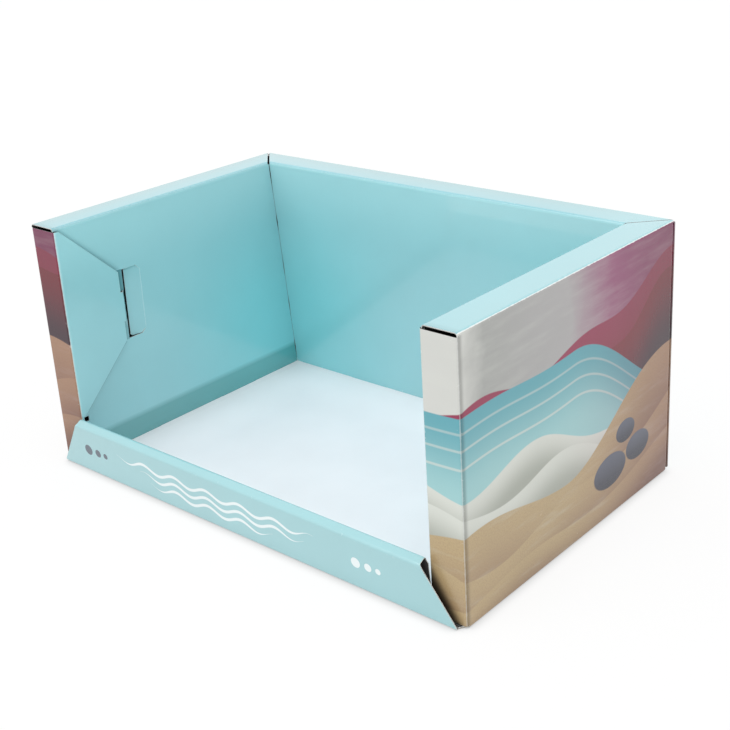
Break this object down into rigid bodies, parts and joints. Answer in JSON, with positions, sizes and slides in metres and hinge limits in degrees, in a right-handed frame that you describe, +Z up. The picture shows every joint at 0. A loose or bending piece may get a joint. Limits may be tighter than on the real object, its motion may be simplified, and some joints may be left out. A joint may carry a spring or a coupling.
{
  "type": "counter display box",
  "caption": "Open-fronted counter display tray folded from one printed card blank, with hollow rolled walls, mitred rims, tucked lock flaps and a low front lip.",
  "frame": {"origin": "middle of the tray's outline on the plane it stands on", "axes": "+Z up, +X along the width, -Y out of the open front"},
  "size_m": [0.4, 0.2578, 0.195],
  "materials": {
    "printed_card": "gloss-laminated print on white card"
  },
  "bodies": {
    "root": {"folded_tray": "printed_card"}
  },
  "joints": []
}
